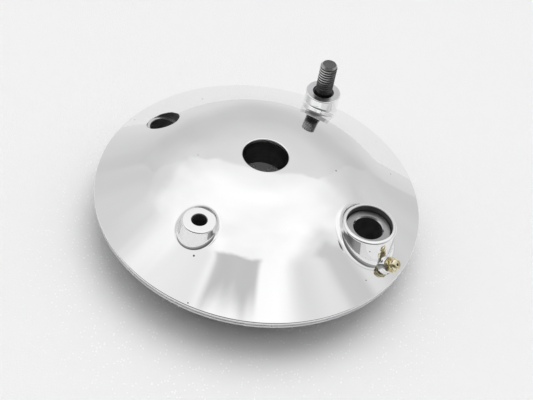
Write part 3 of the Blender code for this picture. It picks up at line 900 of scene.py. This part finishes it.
class Tent:
    """The world's shader: a brightness by direction, in regions bounded by planes."""

    def __init__(self):
        world = bpy.data.worlds.new("light_tent")
        bpy.context.scene.world = world
        world.use_nodes = True
        self.nodes = world.node_tree.nodes
        self.links = world.node_tree.links
        straight = self.nodes.new("ShaderNodeTexCoord").outputs["Generated"]
        self.way = self.bent(straight, 0.12)

    def node(self, kind, values, operation=None):
        """Adds a node whose inputs are numbers, vectors or other nodes' outputs."""
        node = self.nodes.new(kind)
        if operation:
            node.operation = operation
        for socket, value in values:
            if isinstance(value, bpy.types.NodeSocket):
                self.links.new(value, node.inputs[socket])
            else:
                node.inputs[socket].default_value = value
        return node

    def math(self, operation, *values):
        return self.node("ShaderNodeMath", enumerate(values), operation).outputs["Value"]

    def noise(self, way, scale, detail):
        values = [("Vector", way), ("Scale", scale), ("Detail", detail)]
        return self.node("ShaderNodeTexNoise", values)

    def bent(self, straight, reach):
        """The direction, moved a little this way and that, so that no border is quite straight."""
        wobble = self.noise(straight, 5.0, 2.0).outputs["Color"]
        shifted = self.node("ShaderNodeVectorMath", [(0, straight), (1, (reach / 2,) * 3)], "SUBTRACT")
        values = [(0, wobble), (1, (reach,) * 3), (2, shifted.outputs["Vector"])]
        return self.node("ShaderNodeVectorMath", values, "MULTIPLY_ADD").outputs["Vector"]

    def beyond(self, plane, softness):
        """1 on one side of a plane through the middle of the tent, and 0 on the other."""
        values = [(0, self.way), (1, Vector(plane).normalized())]
        dot = self.node("ShaderNodeVectorMath", values, "DOT_PRODUCT").outputs["Value"]
        step = self.node("ShaderNodeMapRange", [("Value", dot), ("From Min", -softness),
                                                ("From Max", softness)])
        step.interpolation_type = "SMOOTHSTEP"
        return step.outputs["Result"]

    def region(self, planes):
        """1 where a direction is beyond all the planes, each given with its softness."""
        inside = self.beyond(*planes[0])
        for plane in planes[1:]:
            inside = self.math("MULTIPLY", inside, self.beyond(*plane))
        return inside

    def by_height(self, stops):
        """Brightness by the height of the direction, from straight down, -1, to straight up, 1."""
        axes = self.node("ShaderNodeSeparateXYZ", [("Vector", self.way)])
        share = self.math("MULTIPLY_ADD", axes.outputs["Z"], 0.5, 0.5)
        ramp = self.node("ShaderNodeValToRGB", [("Fac", share)])
        elements = ramp.color_ramp.elements
        for index, (height, level) in enumerate(stops):
            place = (height + 1) / 2
            element = elements[index] if index < 2 else elements.new(place)
            element.position = place
            element.color = (level / 2, level / 2, level / 2, 1.0)
        return self.math("MULTIPLY", ramp.outputs["Color"], 2.0)

    def blend(self, factor, first, second):
        values = [("Factor", factor), ("A", first), ("B", second)]
        return self.node("ShaderNodeMix", values).outputs["Result"]

    def finish(self, level):
        background = self.nodes["Background"]
        self.links.new(level, background.inputs["Strength"])
        background.inputs["Color"].default_value = (1.0, 1.0, 1.0, 1.0)


def soft_light():
    """A bright ceiling, greyer walls, a few greyer patches and shade on the near side."""
    tent = Tent()
    ceiling = tent.by_height([(-1.0, 0.7), (0.0, 0.66), (0.25, 0.70), (0.55, 0.73), (0.66, 0.82),
                              (0.72, 0.98), (0.82, 1.10), (0.90, 1.15), (1.0, 1.08)])
    wall = tent.by_height([(-1.0, 0.8), (0.0, 0.80), (0.10, 0.76), (0.22, 0.71), (0.35, 0.65),
                           (0.45, 0.66), (0.55, 0.69), (0.66, 0.78), (0.80, 0.86)])
    back_wall = tent.region([((0, 1, -0.93), 0.012), ((1.25, 1.4, 0.2), 0.018),
                             ((-2.05, 1.6, -0.86), 0.015)])
    level = tent.blend(back_wall, ceiling, wall)

    dark_patch = tent.region([((1, 0, 0.30), 0.03), ((-1, 0, 0.13), 0.03), ((0, -1, -0.25), 0.03),
                              ((0, 1, 0.42), 0.025)])
    level = tent.blend(dark_patch, level, 0.63)
    right_patch = tent.region([((1, 0, -0.42), 0.10), ((0, 1, 0.40), 0.08), ((0, -1, 0.30), 0.08)])
    level = tent.blend(right_patch, level, 0.86)
    right_beam = tent.region([((1, 0, -0.60), 0.05), ((0, 1, 0.08), 0.05), ((0, -1, 0.16), 0.05)])
    level = tent.blend(right_beam, level, 0.66)
    left_corner = tent.region([((-1, 0, -0.32), 0.08), ((0, -1, -0.14), 0.06)])
    level = tent.blend(left_corner, level, 0.90)

    near_side = tent.region([((0, -1, -0.62), 0.08)])
    shade = tent.by_height([(-1.0, 0.40), (0.0, 0.38), (0.30, 0.30), (0.50, 0.14), (1.0, 0.12)])
    level = tent.blend(near_side, level, shade)

    drift = tent.noise(tent.way, 3.0, 1.0).outputs["Fac"]
    cloudy = tent.math("MULTIPLY_ADD", drift, 0.26, 0.84)
    tent.finish(tent.math("MULTIPLY", level, cloudy))
    bpy.context.scene.view_settings.view_transform = "Standard"


def key_light():
    """A broad overhead light from behind. Only matt surfaces show it."""
    lamp = bpy.data.lights.new("key", "SUN")
    lamp.energy = 0.92
    lamp.angle = math.radians(50)
    made = bpy.data.objects.new("key", lamp)
    made.rotation_euler = Vector((0.08, 0.42, 1.0)).to_track_quat("Z", "Y").to_euler()
    made.visible_glossy = False
    bpy.context.scene.collection.objects.link(made)


CAMERA_PLACE = (5.15, -357.1, 387.3)
CAMERA_DOWN = math.radians(46.0)
CAMERA_ROLL = math.radians(10.9)
CAMERA_LENS = 58.8


def camera():
    forward = Vector((0, math.cos(CAMERA_DOWN), -math.sin(CAMERA_DOWN)))
    right = Vector((1, 0, 0))
    up = right.cross(forward)
    rolled_right = right * math.cos(CAMERA_ROLL) + up * math.sin(CAMERA_ROLL)
    rolled_up = up * math.cos(CAMERA_ROLL) - right * math.sin(CAMERA_ROLL)
    made = bpy.data.objects.new("camera", bpy.data.cameras.new("camera"))
    bpy.context.scene.collection.objects.link(made)
    turn = Matrix((rolled_right, rolled_up, -forward)).transposed().to_4x4()
    made.matrix_world = Matrix.Translation(Vector(CAMERA_PLACE) * MM) @ turn
    made.data.lens = CAMERA_LENS
    made.data.sensor_width = 36.0
    made.data.clip_start = 0.01
    bpy.context.scene.camera = made


# ---- Assembly -----------------------------------------------------------------------------
plate_finishes = [polished_aluminium(), machined_aluminium(), cast_aluminium(), painted_shade_bore()]
steel_and_highlight = bright_steel()
finishes = {
    "polished_aluminium": [casting(plate_finishes), nipple_pad(plate_finishes)],
    "bush_steel": [cam_bush([bush_steel(), steel_and_highlight, plate_finishes[BORE]])],
    "blackened_steel": [anchor_stud(blackened_steel())],
    "brass": [nipple(nipple_brass())],
}
for slot_name, made_pieces in finishes.items():
    for piece in made_pieces:
        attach(piece, "plate")
repaint("spindle_sleeve", sleeve_steel())
for node_name in ("nipple_ball", "nipple_spring", "nipple_seat"):
    repaint(node_name, steel_and_highlight)

floor()
soft_light()
key_light()
camera()
